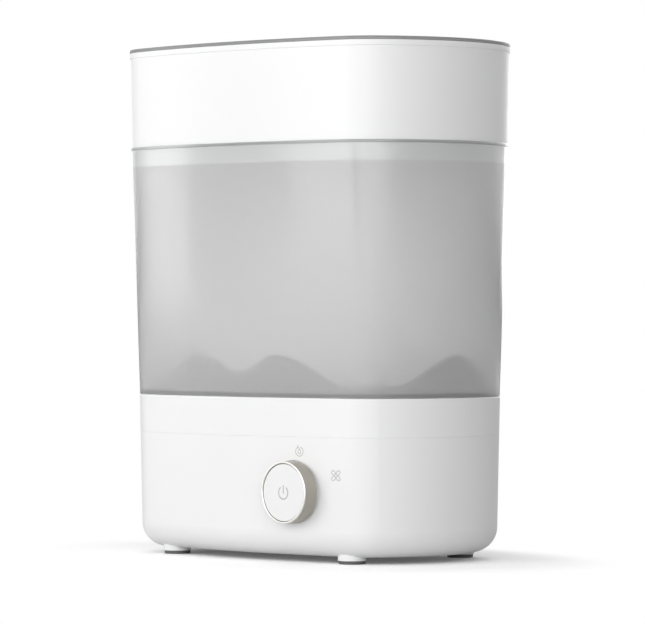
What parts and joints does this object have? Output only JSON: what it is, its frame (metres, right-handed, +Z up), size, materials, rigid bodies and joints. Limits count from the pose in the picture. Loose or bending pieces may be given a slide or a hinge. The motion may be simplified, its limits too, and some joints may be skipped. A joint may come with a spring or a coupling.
{
  "type": "electric bottle sterilizer",
  "caption": "Electric steam steriliser for baby bottles: white base with a turning knob, frosted basket for bottles, white basket for small items, and a flat lid.",
  "frame": {"origin": "middle of the footprint, on the surface that the feet stand on", "axes": "+Z up, front with the knob towards -Y, +X to the right seen from the front"},
  "size_m": [0.295, 0.1816, 0.36],
  "materials": {
    "white_shell": "glossy moulded polypropylene",
    "white_basket": "glossy moulded polypropylene",
    "button_white": "satin moulded plastic",
    "frosted_grey": "frosted see-through polypropylene",
    "rack_grey": "satin moulded plastic",
    "knob_metal": "satin champagne metallic",
    "black_plastic": "satin black plastic",
    "dark_component": "matt electronic part",
    "duct_nylon": "natural nylon",
    "foot_rubber": "matt rubber",
    "gland_rubber": "matt rubber",
    "seal_silicone": "matt silicone",
    "stainless_plate": "brushed stainless steel",
    "element_steel": "heat-dulled steel",
    "screw_steel": "zinc plated",
    "spring_steel": "bright spring steel",
    "bearing_bronze": "sintered bronze",
    "coil_copper": "enamelled copper winding",
    "heater_aluminium": "bare aluminium fins",
    "board_green": "printed circuit board",
    "filter_paper": "pleated filter paper"
  },
  "bodies": {
    "base": {"base_housing": "white_shell", "base_cover": "white_shell", "foot_pads": "foot_rubber", "housing_screws": "screw_steel", "heating_plate": "stainless_plate", "plate_seal": "seal_silicone", "plate_clamp": "screw_steel", "clamp_screws": "screw_steel", "heating_element": "element_steel", "thermostat": "dark_component", "thermal_fuse": "screw_steel", "temperature_sensor": "element_steel", "fan_frame": "black_plastic", "fan_screws": "screw_steel", "fan_bearing": "bearing_bronze", "fan_stator": "coil_copper", "air_duct": "duct_nylon", "drying_heater": "heater_aluminium", "outlet_cap": "white_shell", "cord_gland": "gland_rubber", "control_board": "board_green", "mode_encoder": "dark_component", "push_switch": "dark_component", "control_board_parts": "dark_component", "power_board": "board_green", "power_board_parts": "dark_component", "board_screws": "screw_steel"},
    "fan": {"fan_impeller": "black_plastic", "fan_shaft": "spring_steel"},
    "filter_tray": {"filter_cover": "white_shell", "air_filter": "filter_paper"},
    "knob": {"knob_ring": "knob_metal", "knob_core": "black_plastic", "knob_retainer": "spring_steel"},
    "button": {"power_button": "button_white", "switch_plunger": "duct_nylon", "button_spring": "spring_steel"},
    "large_basket": {"large_basket": "frosted_grey"},
    "rack": {"bottle_rack": "rack_grey"},
    "small_basket": {"small_basket": "white_basket"},
    "lid": {"lid": "frosted_grey"}
  },
  "joints": [
    {"name": "large_basket_lift", "type": "slide", "parent": "base", "child": "large_basket", "axis": [0, 0, 1], "range_m": [0, 0.12]},
    {"name": "rack_lift", "type": "slide", "parent": "large_basket", "child": "rack", "axis": [0, 0, 1], "range_m": [0, 0.11]},
    {"name": "small_basket_lift", "type": "slide", "parent": "large_basket", "child": "small_basket", "axis": [0, 0, 1], "range_m": [0, 0.1]},
    {"name": "lid_lift", "type": "slide", "parent": "small_basket", "child": "lid", "axis": [0, 0, 1], "range_m": [0, 0.08]},
    {"name": "knob_turn", "type": "hinge", "parent": "base", "child": "knob", "pos_m": [0.057, -0.084, 0.049], "axis": [0, 1, 0], "range_deg": [0, 62]},
    {"name": "button_press", "type": "slide", "parent": "base", "child": "button", "axis": [0, 1, 0], "range_m": [0, 0.001], "stiffness_N_per_m": 500, "springref_m": -0.003, "deforming": ["button_spring"]},
    {"name": "filter_tray_slide", "type": "slide", "parent": "base", "child": "filter_tray", "axis": [0, 1, 0], "range_m": [0, 0.05]},
    {"name": "fan_spin", "type": "hinge", "parent": "base", "child": "fan", "pos_m": [0.082, 0.005, 0.035], "axis": [0, 0, 1], "continuous": true}
  ]
}
